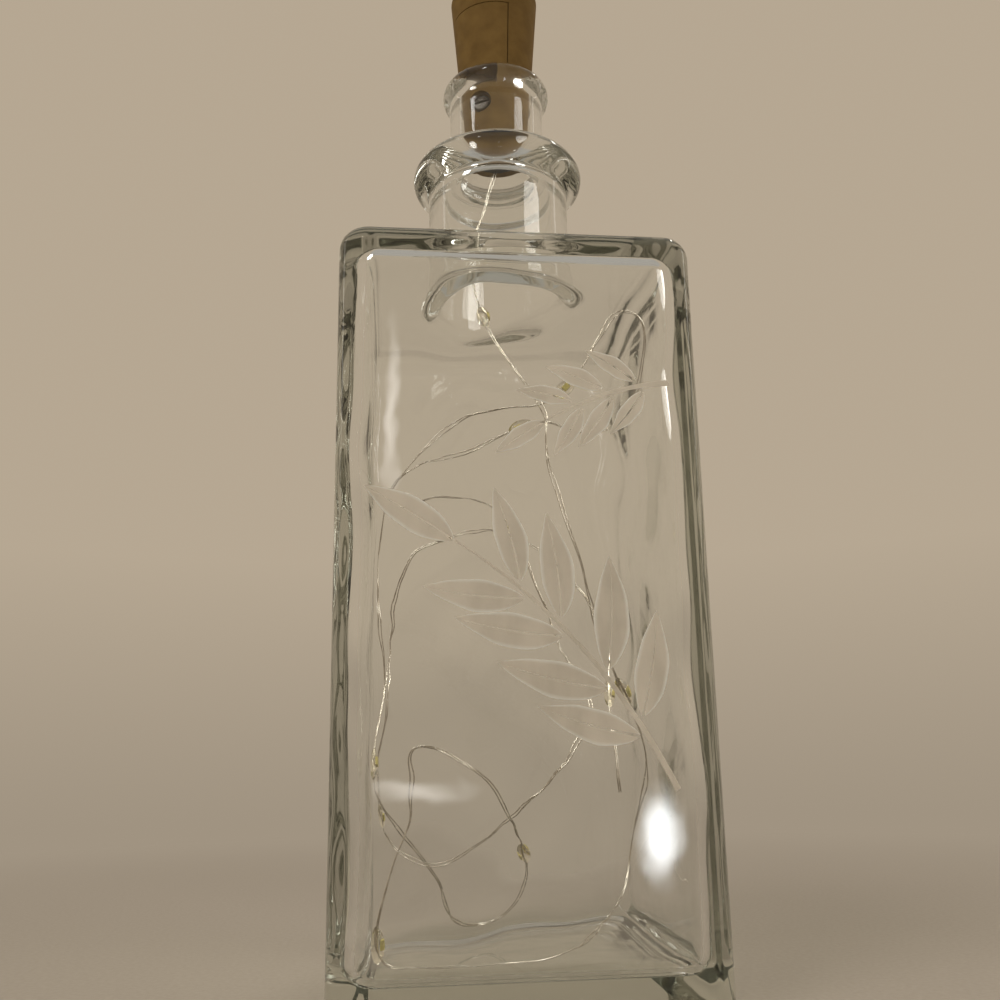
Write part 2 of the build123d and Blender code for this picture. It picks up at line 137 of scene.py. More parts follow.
def let_lamps_through(material, shader, tint):
    """Lamps shine through a clear shader, so that what is behind it is lit."""
    tree = material.node_tree
    path = tree.nodes.new("ShaderNodeLightPath")
    clear = tree.nodes.new("ShaderNodeBsdfTransparent")
    clear.inputs["Color"].default_value = (*tint, 1.0)
    mix = tree.nodes.new("ShaderNodeMixShader")
    tree.links.new(path.outputs["Is Shadow Ray"], mix.inputs["Fac"])
    tree.links.new(shader.outputs["BSDF"], mix.inputs[1])
    tree.links.new(clear.outputs["BSDF"], mix.inputs[2])
    tree.links.new(mix.outputs["Shader"], tree.nodes["Material Output"].inputs["Surface"])


def plain_surface(
    name, low, high, scale, rough, relief=0.0, metal=0.0, stretch=UNSTRETCHED, shine=0.5
):
    """A solid finish: two close colours mottled together, uneven gloss and fine relief."""
    material, shader = new_material(name)
    tree = material.node_tree
    mottle = noise(material, scale, MOTTLE_DETAIL, stretch)
    tree.links.new(ramp(material, mottle, low, high), shader.inputs["Base Color"])
    gloss = noise(material, scale * GLOSS_FINENESS, GLOSS_DETAIL, stretch)
    tree.links.new(ramp(material, gloss, *rough), shader.inputs["Roughness"])
    shader.inputs["Metallic"].default_value = metal
    shader.inputs["Specular IOR Level"].default_value = shine
    if relief:
        grain = noise(material, scale * RELIEF_FINENESS, RELIEF_DETAIL, stretch)
        bump(material, shader, grain, relief)
    return material


def clear_surface(name, colour, ior, rough, wave_scale, wave_height, shadow_tint):
    """Glass or resin with a faintly uneven surface."""
    material, shader = new_material(name)
    shader.inputs["Base Color"].default_value = (*colour, 1.0)
    shader.inputs["Transmission Weight"].default_value = 1.0
    shader.inputs["Roughness"].default_value = rough
    shader.inputs["IOR"].default_value = ior
    bump(material, shader, noise(material, wave_scale, RELIEF_DETAIL), wave_height)
    let_lamps_through(material, shader, shadow_tint)
    return material


# Finishes of the glass and of the frost on it
GLASS_DEPTH_TINT = (0.67, 0.685, 0.63)
GLASS_DENSITY = 23.0
FROST_LOW = (0.78, 0.725, 0.63)
FROST_HIGH = (0.89, 0.835, 0.74)
FROST_ROUGHNESS = 0.6
FROST_GRAIN_SCALE = 900.0
FROST_GRAIN_DETAIL = 3.0
FROST_RELIEF = 0.00003
FROST_GLOW = 0.42
STREAK_SCALE = 160.0
STREAK_DETAIL = 5.0
STREAK_STRETCH = (1.0, 1.0, 0.45)
STREAK_COVER = 0.84
FULL_COVER = 0.98
RIM_LAYER = "rim"
RIM_COLOUR = (0.95, 0.93, 0.87)
RIM_START = 0.76
RIM_FULL = 0.94


def glass_surface():
    """Clear bottle glass that turns green where it is thick."""
    material = clear_surface(
        "clear_glass",
        colour=(0.985, 0.99, 0.985),
        ior=1.5,
        rough=0.0,
        wave_scale=70.0,
        wave_height=0.00008,
        shadow_tint=(0.83, 0.84, 0.82),
    )
    tree = material.node_tree
    tint = tree.nodes.new("ShaderNodeVolumeAbsorption")
    tint.inputs["Color"].default_value = (*GLASS_DEPTH_TINT, 1.0)
    tint.inputs["Density"].default_value = GLASS_DENSITY
    tree.links.new(tint.outputs["Volume"], tree.nodes["Material Output"].inputs["Volume"])
    return material


def frosted_surface():
    """Frosted white in streaks that let a little show through, paler along each leaf's rim."""
    material, shader = new_material("frosted_white")
    tree = material.node_tree
    streaks = noise(material, STREAK_SCALE, STREAK_DETAIL, STREAK_STRETCH)
    body = ramp(material, streaks, FROST_LOW, FROST_HIGH)
    rim = tree.nodes.new("ShaderNodeAttribute")
    rim.attribute_name = RIM_LAYER
    colour = tree.nodes.new("ShaderNodeMixRGB")
    colour.inputs["Color2"].default_value = (*RIM_COLOUR, 1.0)
    at_rim = ramp(material, rim.outputs["Fac"], 0.0, 1.0, start=RIM_START, end=RIM_FULL)
    tree.links.new(at_rim, colour.inputs["Fac"])
    tree.links.new(body, colour.inputs["Color1"])
    tree.links.new(colour.outputs["Color"], shader.inputs["Base Color"])
    cover = ramp(material, streaks, STREAK_COVER, FULL_COVER, start=0.28, end=0.5)
    tree.links.new(cover, shader.inputs["Alpha"])
    shader.inputs["Roughness"].default_value = FROST_ROUGHNESS
    bump(material, shader, noise(material, FROST_GRAIN_SCALE, FROST_GRAIN_DETAIL), FROST_RELIEF)
    glow = tree.nodes.new("ShaderNodeBsdfTranslucent")
    both = tree.nodes.new("ShaderNodeMixShader")
    both.inputs["Fac"].default_value = FROST_GLOW
    tree.links.new(colour.outputs["Color"], glow.inputs["Color"])
    tree.links.new(shader.outputs["BSDF"], both.inputs[1])
    tree.links.new(glow.outputs["BSDF"], both.inputs[2])
    tree.links.new(both.outputs["Shader"], tree.nodes["Material Output"].inputs["Surface"])
    return material


# Solid finishes, by the record's slot names
FINISHES = {
    "cork_plastic": {
        "low": (0.138, 0.083, 0.028),
        "high": (0.188, 0.116, 0.039),
        "scale": 260.0,
        "rough": (0.52, 0.66),
        "relief": 0.00002,
        "shine": 0.06,
    },
    "board": {
        "low": (0.02, 0.11, 0.04),
        "high": (0.03, 0.16, 0.06),
        "scale": 900.0,
        "rough": (0.25, 0.4),
        "relief": 0.00001,
    },
    "component_black": {
        "low": (0.012, 0.012, 0.013),
        "high": (0.03, 0.03, 0.03),
        "scale": 1500.0,
        "rough": (0.3, 0.5),
    },
    "switch_black": {
        "low": (0.014, 0.014, 0.014),
        "high": (0.03, 0.03, 0.03),
        "scale": 1200.0,
        "rough": (0.45, 0.6),
        "relief": 0.00001,
    },
    "cell_steel": {
        "low": (0.52, 0.52, 0.51),
        "high": (0.66, 0.66, 0.65),
        "scale": 700.0,
        "rough": (0.22, 0.36),
        "metal": 1.0,
        "stretch": (1.0, 1.0, 6.0),
    },
    "contact_nickel": {
        "low": (0.58, 0.55, 0.48),
        "high": (0.70, 0.67, 0.60),
        "scale": 800.0,
        "rough": (0.2, 0.35),
        "metal": 1.0,
    },
    "screw_steel": {
        "low": (0.10, 0.095, 0.09),
        "high": (0.2, 0.19, 0.18),
        "scale": 1100.0,
        "rough": (0.25, 0.4),
        "metal": 1.0,
    },
    "relief_rubber": {
        "low": (0.016, 0.013, 0.011),
        "high": (0.035, 0.03, 0.026),
        "scale": 1300.0,
        "rough": (0.6, 0.8),
        "relief": 0.00001,
    },
    "lead_red": {
        "low": (0.30, 0.012, 0.010),
        "high": (0.42, 0.02, 0.016),
        "scale": 1500.0,
        "rough": (0.3, 0.45),
    },
    "lead_black": {
        "low": (0.01, 0.01, 0.01),
        "high": (0.025, 0.025, 0.025),
        "scale": 1500.0,
        "rough": (0.3, 0.45),
    },
    # The wire's mottle runs from a dark brown, painted as the silver's dark reflections, up to its own
    # pale silver.
    "silver_wire": {
        "low": (0.34, 0.29, 0.23),
        "high": (0.74, 0.70, 0.63),
        "scale": 420.0,
        "rough": (0.12, 0.28),
        "metal": 1.0,
    },
    "light_chip": {
        "low": (0.52, 0.43, 0.13),
        "high": (0.68, 0.59, 0.25),
        "scale": 2500.0,
        "rough": (0.4, 0.6),
        "relief": 0.00001,
    },
}
SURFACES = {name: plain_surface(name, **finish) for name, finish in FINISHES.items()}
SURFACES["clear_glass"] = glass_surface()
SURFACES["clear_resin"] = clear_surface(
    "clear_resin",
    colour=(0.98, 0.96, 0.88),
    ior=1.48,
    rough=0.02,
    wave_scale=700.0,
    wave_height=0.00003,
    shadow_tint=(0.92, 0.9, 0.82),
)
frosted_white = frosted_surface()
for part in frame["record"]["subparts"]:
    for place in frame["nodes"][part["node"]].material_slots:
        place.material = SURFACES[part["material_slot"]]


# Mesh helpers


def new_piece(name, points, faces, material, body=None, slot=None):
    """A smooth mesh piece with the given finish, riding on a body if one is given; its slot is not
    used.
    """
    mesh = bpy.data.meshes.new(name)
    mesh.from_pydata(points, [], faces)
    mesh.materials.append(material)
    mesh.polygons.foreach_set("use_smooth", [True] * len(mesh.polygons))
    piece = bpy.data.objects.new(name, mesh)
    scene.collection.objects.link(piece)
    if body:
        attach(piece, body)
    return piece


def loft(rings, closed=False):
    """Points and faces of a skin through rings of equal count and, if closed, a fan over each end."""
    count = len(rings[0])
    points = [point for ring in rings for point in ring]
    faces = []
    for low in range(len(rings) - 1):
        for i in range(count):
            j = (i + 1) % count
            start = low * count
            faces.append((start + i, start + j, start + count + j, start + count + i))
    if closed:
        for ring, first, turn in ((rings[0], 0, -1), (rings[-1], (len(rings) - 1) * count, 1)):
            middle = len(points)
            points.append(sum(ring, Vector()) / count)
            for i in range(count):
                edge = (first + i, first + (i + 1) % count)
                faces.append((middle, *edge[::turn]))
    return points, faces


def smooth_line(points, steps):
    """Points along the smooth spline that the given points control."""
    data = bpy.data.curves.new("route", "CURVE")
    data.dimensions = "3D"
    data.resolution_u = steps
    spline = data.splines.new("NURBS")
    spline.points.add(len(points) - 1)
    for control, point in zip(spline.points, points):
        control.co = (*point, 1.0)
    spline.order_u = 3
    spline.use_endpoint_u = True
    line = bpy.data.objects.new("route", data)
    scene.collection.objects.link(line)
    mesh = bpy.data.meshes.new_from_object(line)
    places = [vertex.co.copy() for vertex in mesh.vertices]
    bpy.data.objects.remove(line)
    bpy.data.meshes.remove(mesh)
    return places


# Light wire: its route in the bottle, from the plug down
WIRE_EXIT = Vector((0.0, 0.0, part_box("strain_relief")[0].z))
WIRE_ROUTE = [
    WIRE_EXIT,
    Vector((-0.003, -0.001, 0.1665)),
    Vector((-0.008, -0.004, 0.1525)),
    Vector((-0.007, -0.01, 0.1405)),
    Vector((-0.0045, -0.018, 0.1295)),
    Vector((0.001, -0.023, 0.1175)),
    Vector((0.006, -0.026, 0.109)),
    Vector((0.0045, -0.0275, 0.1005)),
    Vector((0.0075, -0.0275, 0.0905)),
    Vector((0.011, -0.027, 0.08)),
    Vector((0.013, -0.026, 0.0705)),
    Vector((0.016, -0.023, 0.0615)),
    Vector((0.0245, -0.014, 0.0505)),
    Vector((0.028, -0.002, 0.042)),
    Vector((0.027, 0.008, 0.03)),
    Vector((0.026, 0.006, 0.018)),
    Vector((0.018, -0.005, 0.011)),
    Vector((0.0085, -0.02, 0.009)),
    Vector((-0.0055, -0.0255, 0.009)),
    Vector((-0.019, -0.0255, 0.009)),
    Vector((-0.0265, -0.026, 0.01)),
    Vector((-0.0265, -0.0275, 0.0175)),
    Vector((-0.0245, -0.0275, 0.025)),
    Vector((-0.021, -0.0275, 0.032)),
    Vector((-0.0205, -0.0275, 0.039)),
    Vector((-0.0212, -0.027, 0.0474)),
    Vector((-0.0125, -0.0267, 0.0443)),
    Vector((-0.0068, -0.0255, 0.0402)),
    Vector((-0.0028, -0.0215, 0.0345)),
    Vector((0, -0.012, 0.0305)),
    Vector((0.003, 0.001, 0.023)),
    Vector((0.0015, 0.013, 0.014)),
    Vector((-0.0045, 0.017, 0.01)),
    Vector((-0.0115, 0.012, 0.0115)),
    Vector((-0.014, 0.003, 0.019)),
    Vector((-0.0175, -0.006, 0.025)),
    Vector((-0.0235, -0.015, 0.0325)),
    Vector((-0.028, -0.02, 0.039)),
    Vector((-0.0275, -0.014, 0.0485)),
    Vector((-0.0245, -0.009, 0.0595)),
    Vector((-0.027, -0.011, 0.071)),
    Vector((-0.0275, -0.009, 0.0835)),
    Vector((-0.026, -0.012, 0.094)),
    Vector((-0.0205, -0.016, 0.102)),
    Vector((-0.0115, -0.019, 0.1095)),
    Vector((-0.0015, -0.02, 0.112)),
    Vector((0.007, -0.019, 0.1125)),
    Vector((0.0145, -0.02, 0.121)),
    Vector((0.0185, -0.0205, 0.1285)),
    Vector((0.022, -0.0215, 0.133)),
    Vector((0.027, -0.021, 0.132)),
    Vector((0.028, -0.0195, 0.126)),
    Vector((0.027, -0.014, 0.1175)),
    Vector((0.0235, -0.005, 0.1125)),
    Vector((0.017, 0.003, 0.113)),
    Vector((0.01, 0.008, 0.1185)),
    Vector((0.0005, 0.008, 0.113)),
    Vector((-0.0105, 0.01, 0.1105)),
    Vector((-0.0205, 0.014, 0.1085)),
    Vector((-0.0255, 0.02, 0.103)),
    Vector((-0.0225, 0.027, 0.1)),
    Vector((-0.012, 0.028, 0.1045)),
    Vector((0.002, 0.027, 0.106)),
    Vector((0.007, 0.024, 0.089)),
    Vector((0.013, 0.02, 0.073)),
    Vector((0.021, 0.013, 0.057)),
    Vector((0.012, 0.01, 0.042)),
    Vector((-0.002, 0.017, 0.029)),
    Vector((-0.015, 0.024, 0.02)),
    Vector((-0.0255, 0.0255, 0.025)),
    Vector((-0.0275, 0.019, 0.0385)),
    Vector((-0.025, 0.015, 0.054)),
    Vector((-0.023, 0.021, 0.069)),
    Vector((-0.0245, 0.017, 0.085)),
    Vector((-0.011, 0.0135, 0.093)),
    Vector((0.006, 0.013, 0.094)),
    Vector((0.017, 0.007, 0.08)),
    Vector((0.022, -0.001, 0.065)),
    Vector((0.019, -0.0065, 0.0505)),
    Vector((0.0205, -0.01, 0.037)),
]
DROP_RUNS = [3, 11, 20, 29, 37, 46, 55, 62, 69, 77]
LINE_STEPS = 10
STRAND_RADIUS = 0.12 * MM
STRAND_OFFSET = 0.26 * MM
OFFSET_CHANGE = 0.13 * MM
OFFSET_PITCH = 23.0 * MM
STRAND_SIDES = 6
TWIST_PITCH = 95.0 * MM
TWIST_SWAY = 0.7
SWAY_PITCH = 41.0 * MM
KINK_DEPTH = 0.16 * MM
KINK_PITCH = 9.1 * MM
KINK_START = 20.0 * MM
DROP_LENGTH = 6.6 * MM
DROP_RADIUS = 1.4 * MM
DROP_TAPER = 0.62
DROP_FLATNESS = 0.16
DROP_SIDES = 20
DROP_RINGS = 16

wire_line = smooth_line(WIRE_ROUTE, LINE_STEPS)


def line_direction(line, index):
    """The way a line runs at one of its points."""
    return (line[min(index + 1, len(line) - 1)] - line[max(index - 1, 0)]).normalized()


def wire_strands():
    """Two enamelled strands that turn about each other, part and meet, and kink a little."""
    aside = line_direction(wire_line, 0).orthogonal().normalized()
    travelled = 0.0
    pairs = ([], [])
    for index, middle in enumerate(wire_line):
        along = line_direction(wire_line, index)
        aside = (aside - along * aside.dot(along)).normalized()
        travelled += (middle - wire_line[max(index - 1, 0)]).length
        freedom = min(travelled / KINK_START, 1.0)
        sway = sin(2 * pi * travelled / SWAY_PITCH)
        turn = 2 * pi * travelled / TWIST_PITCH + TWIST_SWAY * sway
        lean = Matrix.Rotation(turn, 3, along) @ aside
        across = along.cross(lean)
        parting = sin(2 * pi * travelled / OFFSET_PITCH + sway)
        offset = STRAND_OFFSET + OFFSET_CHANGE * freedom * parting
        kink = KINK_DEPTH * freedom * sin(2 * pi * travelled / KINK_PITCH + 2 * sway)
        for rings, side in zip(pairs, (1, -1)):
            centre = middle + aside * kink + lean * side * offset
            ring = []
            for step in range(STRAND_SIDES):
                angle = 2 * pi * step / STRAND_SIDES
                ring.append(centre + (lean * cos(angle) + across * sin(angle)) * STRAND_RADIUS)
            rings.append(ring)
    points, faces = loft(pairs[0], closed=True)
    more_points, more_faces = loft(pairs[1], closed=True)
    faces += [tuple(len(points) + corner for corner in face) for face in more_faces]
    return points + more_points, faces


def resin_drop(number, run):
    """A long clear drop round the wire, fuller on the side where its chip sits."""
    wanted = (WIRE_ROUTE[run] + WIRE_ROUTE[run + 1]) / 2
    index = min(range(len(wire_line)), key=lambda i: (wire_line[i] - wanted).length)
    middle, along = wire_line[index], line_direction(wire_line, index)
    chip_low, chip_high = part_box(f"led_chip_{number:02d}")
    lean = (chip_low + chip_high) / 2 - middle
    lean = (lean - along * lean.dot(along)).normalized()
    across = along.cross(lean)
    rings = []
    for ring in range(1, DROP_RINGS):
        share = -cos(pi * ring / DROP_RINGS)
        radius = DROP_RADIUS * (1 - share * share) ** DROP_TAPER
        centre = middle + along * share * DROP_LENGTH / 2
        points = []
        for step in range(DROP_SIDES):
            angle = 2 * pi * step / DROP_SIDES
            fullness = 1.0 if cos(angle) > 0 else 1.0 - DROP_FLATNESS * cos(angle) ** 2
            points.append(centre + (lean * cos(angle) * fullness + across * sin(angle)) * radius)
        rings.append(points)
    points, faces = loft(rings, closed=True)
    drop = new_piece(
        f"resin_drop_{number:02d}", points, faces, SURFACES["clear_resin"], "bottle", "clear_resin"
    )
    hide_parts(f"led_drop_{number:02d}")
    return drop


resin_drops = [resin_drop(number, run) for number, run in enumerate(DROP_RUNS, start=1)]
fairy_wire = new_piece("fairy_wire", *wire_strands(), SURFACES["silver_wire"], None, "silver_wire")
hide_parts("light_wire")
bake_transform(fairy_wire)


# Glass bottle, in millimetres until its points are written
SIDE_STEPS = 32
CORNER_STEPS = 8
CIRCLE_SIDE_ANGLE = 50.0
CORNER_RADIUS = 6.0
LEAST_CORNER = 1.6
BODY_HEIGHT = 145.5
SHOULDER_RADIUS = 4.5
BASE_EDGE_RADIUS = 3.0
FOOT_HALF = 28.0
FOOT_RECESS = 1.2
SIDE_WALL = 4.0
BASE_THICKNESS = 7.0
SHOULDER_THICKNESS = 4.0
INNER_CORNER_RADIUS = 4.0
INNER_SHOULDER_RADIUS = 3.8
INNER_FLOOR_RADIUS = 3.8
NECK_RADIUS = 16.0
NECK_BORE = 12.5
NECK_ROOT = 3.0
COLLAR_BASE = 170.5
COLLAR_HEIGHT = 8.0
COLLAR_RADIUS = 19.5
FINISH_RADIUS = 10.9
FINISH_ROOT = 1.5
LIP_RADIUS = 12.5
LIP_HEIGHT = 5.4
MOUTH_EDGE = 0.8
BORE_RADIUS = 8.58
INNER_ROOT = 4.0
THROAT_BASE = 169.5
SOFT_EDGE = 0.5
WAVE_FADE = 9.0
LIP_PRESS = 0.05
LIP_FINE_RIPPLES = 29
LIP_BROAD_RIPPLES = 17
LONG_WAVE_DEPTH = 0.34
LONG_WAVE_REACH = 9.0
SHORT_WAVE_DEPTH = 0.20
SHORT_WAVE_REACH = 4.7
SHORT_WAVE_START = 1.1
TURN_WAVE_DEPTH = 0.24
TURN_WAVE_REACH = 14.0
DIMPLE_DEPTH = 0.13
DIMPLE_WIDTH = 2.7
DIMPLE_HEIGHT = 4.4
DIMPLE_SWAY_HEIGHT = 8.0
DIMPLE_SWAY_WIDTH = 9.0
DIMPLE_SWAY = 0.8
RECESS_HALVES = (2.0, 9.0, 18.0)
RECESS_EDGE = ((1.0, 0.0), (0.4, 0.08), (0.1, 0.4), (0.0, 0.9))
FOOT_RIM = 0.3
OUTER_SIDE_HEIGHTS = range(6, 139, 4)
NECK_HEIGHTS = (154.0, 160.0, 166.0, COLLAR_BASE - 2 * SOFT_EDGE)
COLLAR_TRIM = 14
FINISH_HEIGHTS = (183.0, 187.0, 191.0)
LIP_TRIM = 12
BORE_HEIGHTS = (194.0, 188.0, 182.0, 177.0)
LOWER_BORE_HEIGHTS = (164.0, 158.0, 152.0, 146.0)
INNER_SIDE_HEIGHTS = range(136, 12, -2)
FLOOR_HALVES = (18.0, 11.0, 5.0, 2.0)
half_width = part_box("bottle")[1].x / MM
mouth_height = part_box("bottle")[1].z / MM
inner_half = half_width - SIDE_WALL
inner_top = BODY_HEIGHT - SHOULDER_THICKNESS


def square_ring(half, corner, height):
    """A rounded square, its four sides and corners divided alike."""
    points = []
    straight = half - corner
    quarter = []
    for step in range(SIDE_STEPS):
        quarter.append((half, straight * (2 * step / SIDE_STEPS - 1)))
    for step in range(CORNER_STEPS):
        angle = pi / 2 * step / CORNER_STEPS
        quarter.append((straight + corner * cos(angle), straight + corner * sin(angle)))
    for turn in range(4):
        spin = Matrix.Rotation(turn * pi / 2, 2)
        points += [Vector((*(spin @ Vector(place)), height)) for place in quarter]
    return points


def round_ring(radius, height):
    """A circle with as many points as the rounded square, in the same order."""
    half_side = radians(CIRCLE_SIDE_ANGLE) / 2
    angles = [half_side * (2 * step / SIDE_STEPS - 1) for step in range(SIDE_STEPS)]
    corner_angle = pi / 2 - 2 * half_side
    angles += [half_side + corner_angle * step / CORNER_STEPS for step in range(CORNER_STEPS)]
    points = []
    for turn in range(4):
        for angle in angles:
            around = angle + turn * pi / 2
            points.append(Vector((radius * cos(around), radius * sin(around), height)))
    return points


def arc(centre, radius, start, end, steps):
    """Points of an arc in the profile: distance from the axis and height."""
    places = []
    for step in range(steps + 1):
        angle = radians(start + (end - start) * step / steps)
        places.append((centre[0] + radius * cos(angle), centre[1] + radius * sin(angle)))
    return places


def bulge(low, edge, high, steps, trim):
    """An arc in the profile from low through the outermost point edge to high, short of its low end."""
    rise = (high[1] - low[1]) / 2
    depth = edge[0] - low[0]
    radius = (rise**2 + depth**2) / (2 * depth)
    centre = (edge[0] - radius, edge[1])
    reach = atan2(rise, low[0] - centre[0]) * 180 / pi
    return arc(centre, radius, -reach + trim, reach, steps)


def between(first, last, steps):
    """Evenly spaced rings between two rings, without the two."""
    rings = []
    for step in range(1, steps):
        share = step / steps
        rings.append([a.lerp(b, share) for a, b in zip(first, last)])
    return rings


def squares(profile, full_half, full_corner):
    """Rounded squares along a profile of half widths and heights, sharper where they draw in."""
    rings = []
    for half, height in profile:
        corner = max(full_corner - (full_half - half), LEAST_CORNER)
        rings.append(square_ring(half, corner, height))
    return rings


def outer_rings():
    """The bottle's outside, from the middle of the recess under its base up to the mouth."""
    foot = []
    for half in RECESS_HALVES:
        foot.append(square_ring(half, INNER_CORNER_RADIUS * half / FOOT_HALF, FOOT_RECESS))
    for offset, drop in RECESS_EDGE:
        foot.append(square_ring(FOOT_HALF - offset, INNER_CORNER_RADIUS, FOOT_RECESS - drop))
    foot += squares([(FOOT_HALF + FOOT_RIM, 0.0)], half_width, CORNER_RADIUS)
    base_place = (half_width - BASE_EDGE_RADIUS, BASE_EDGE_RADIUS)
    base_edge = arc(base_place, BASE_EDGE_RADIUS, -90, 0, steps=7)
    sides = [(half_width, height) for height in OUTER_SIDE_HEIGHTS]
    shoulder_place = (half_width - SHOULDER_RADIUS, BODY_HEIGHT - SHOULDER_RADIUS)
    shoulder = arc(shoulder_place, SHOULDER_RADIUS, 0, 90, steps=10)
    body = foot + squares(base_edge + sides + shoulder, half_width, CORNER_RADIUS)
    neck = arc((NECK_RADIUS + NECK_ROOT, BODY_HEIGHT + NECK_ROOT), NECK_ROOT, 270, 180, steps=7)
    neck += [(NECK_RADIUS, height) for height in NECK_HEIGHTS]
    neck.append((NECK_RADIUS + SOFT_EDGE / 8, COLLAR_BASE - SOFT_EDGE / 2))
    neck.append((NECK_RADIUS + SOFT_EDGE / 2, COLLAR_BASE - SOFT_EDGE / 8))
    collar_low = (NECK_RADIUS, COLLAR_BASE)
    collar_edge = (COLLAR_RADIUS, COLLAR_BASE + COLLAR_HEIGHT / 2)
    collar_top = COLLAR_BASE + COLLAR_HEIGHT
    neck += bulge(collar_low, collar_edge, (NECK_RADIUS, collar_top), steps=16, trim=COLLAR_TRIM)
    finish_place = (FINISH_RADIUS + FINISH_ROOT, collar_top + FINISH_ROOT)
    neck += arc(finish_place, FINISH_ROOT, 270, 180, steps=6)
    lip_base = mouth_height - LIP_HEIGHT
    neck += [(FINISH_RADIUS, height) for height in (*FINISH_HEIGHTS, lip_base - 2 * SOFT_EDGE)]
    neck.append((FINISH_RADIUS + SOFT_EDGE / 8, lip_base - SOFT_EDGE / 3))
    lip_low = (FINISH_RADIUS, lip_base)
    lip_edge = (LIP_RADIUS, lip_base + LIP_HEIGHT / 2)
    neck += bulge(lip_low, lip_edge, (FINISH_RADIUS, mouth_height), steps=14, trim=LIP_TRIM)
    mouth_place = (BORE_RADIUS + MOUTH_EDGE, mouth_height - MOUTH_EDGE)
    neck += arc(mouth_place, MOUTH_EDGE, 90, 180, steps=6)
    neck_rings = [round_ring(*place) for place in neck]
    return body + between(body[-1], neck_rings[0], steps=6) + neck_rings


def inner_rings():
    """The bottle's inside, from the bore under the mouth down to the middle of its floor."""
    throat_radius = NECK_BORE - BORE_RADIUS
    throat_top = THROAT_BASE + throat_radius
    neck = [(BORE_RADIUS, height) for height in (*BORE_HEIGHTS, throat_top + SOFT_EDGE)]
    neck.append((BORE_RADIUS + SOFT_EDGE / 4, throat_top + SOFT_EDGE / 8))
    neck += arc((BORE_RADIUS, THROAT_BASE), throat_radius, 75, 0, steps=9)
    neck += [(NECK_BORE, height) for height in LOWER_BORE_HEIGHTS]
    neck += arc((NECK_BORE + INNER_ROOT, inner_top + INNER_ROOT), INNER_ROOT, 180, 270, steps=9)
    shoulder_place = (inner_half - INNER_SHOULDER_RADIUS, inner_top - INNER_SHOULDER_RADIUS)
    body = arc(shoulder_place, INNER_SHOULDER_RADIUS, 90, 0, steps=12)
    body += [(inner_half, height) for height in INNER_SIDE_HEIGHTS]
    floor_place = (inner_half - INNER_FLOOR_RADIUS, BASE_THICKNESS + INNER_FLOOR_RADIUS)
    body += arc(floor_place, INNER_FLOOR_RADIUS, 0, -90, steps=9)
    body += [(half, BASE_THICKNESS) for half in FLOOR_HALVES]
    neck_rings = [round_ring(*place) for place in neck]
    body_rings = squares(body, inner_half, INNER_CORNER_RADIUS)
    return neck_rings + between(neck_rings[-1], body_rings[0], steps=5) + body_rings


def uneven_lip(point):
    """A point of the outside, pressed in or out a little where it is on the lip."""
    if point.z < mouth_height - LIP_HEIGHT or point.xy.length < BORE_RADIUS + MOUTH_EDGE:
        return point
    around = atan2(point.y, point.x)
    fine = sin(LIP_FINE_RIPPLES * around + 2 * sin(2 * point.z))
    broad = sin(LIP_BROAD_RIPPLES * around + 3 * point.z)
    return point + Vector((point.x, point.y, 0.0)).normalized() * (LIP_PRESS * fine * broad)


def wave(point):
    """How far the uneven inner wall stands out or in at a point, in millimetres."""
    around = atan2(point.y, point.x)
    fade = min((point.z - BASE_THICKNESS) / WAVE_FADE, (inner_top - point.z) / WAVE_FADE, 1.0)
    if fade <= 0:
        return 0.0
    long_wave = LONG_WAVE_DEPTH * sin(point.z / LONG_WAVE_REACH + 2 * sin(2 * around))
    short_wave = SHORT_WAVE_DEPTH * sin(point.z / SHORT_WAVE_REACH + 3 * around + SHORT_WAVE_START)
    turn_wave = TURN_WAVE_DEPTH * sin(2 * around - point.z / TURN_WAVE_REACH)
    aside = point.x - point.y
    columns = sin(aside / DIMPLE_WIDTH + sin(point.z / DIMPLE_SWAY_HEIGHT))
    rows = sin(point.z / DIMPLE_HEIGHT + DIMPLE_SWAY * sin(aside / DIMPLE_SWAY_WIDTH))
    return fade * (long_wave + short_wave + turn_wave + DIMPLE_DEPTH * columns * rows)


def wavy(point):
    """A point of the inner wall, moved square to the wall that it is nearest to."""
    out = Vector((point.x**5, point.y**5, 0.0))
    if out.length == 0:
        return point
    return point + out.normalized() * wave(point)


glass_rings = [[uneven_lip(point) for point in ring] for ring in outer_rings()]
glass_rings += [[wavy(point) for point in ring] for ring in inner_rings()]
glass_rings = [[point * MM for point in ring] for ring in glass_rings]
glass_bottle = new_piece(
    "glass_bottle", *loft(glass_rings, closed=True), SURFACES["clear_glass"], "bottle", "clear_glass"
)
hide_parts("bottle")


# Frosted leaf sprigs on the front face, in millimetres until their points are written
FROST_GAP = 0.02
FROST_DEPTH = 0.06
LEAF_STEPS = 16
RIB_GAP = 0.22
STEM_WIDTH = 1.1
LEAF_STALK = 0.45
EDGE_ROUGHNESS = 0.09
EDGE_STEP_PHASE = 7.3
EDGE_SIDE_PHASE = 2.1
EDGE_LENGTH_PHASE = 3.0
LEAF_WIDTH = 0.31
LEAF_BELLY = 0.85
LEAF_FULLNESS = 0.9
LEAF_POINT = 0.02
LEAF_BEND = -0.12
TIP_BEND = 0.04
STEM_STEPS = 24
STEM_THINNING = 0.7
FIRST_LEAF = 0.16
LEAVES_SPAN = 0.74
PAIR_STAGGER = 0.22
LEAF_ANGLE = 52
ANGLE_CLOSING = 14
LEAF_LONGEST = 1.08
LEAF_SHORTENING = 0.42
LONGEST_PLACE = 0.4
front_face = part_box("bottle")[0].y / MM


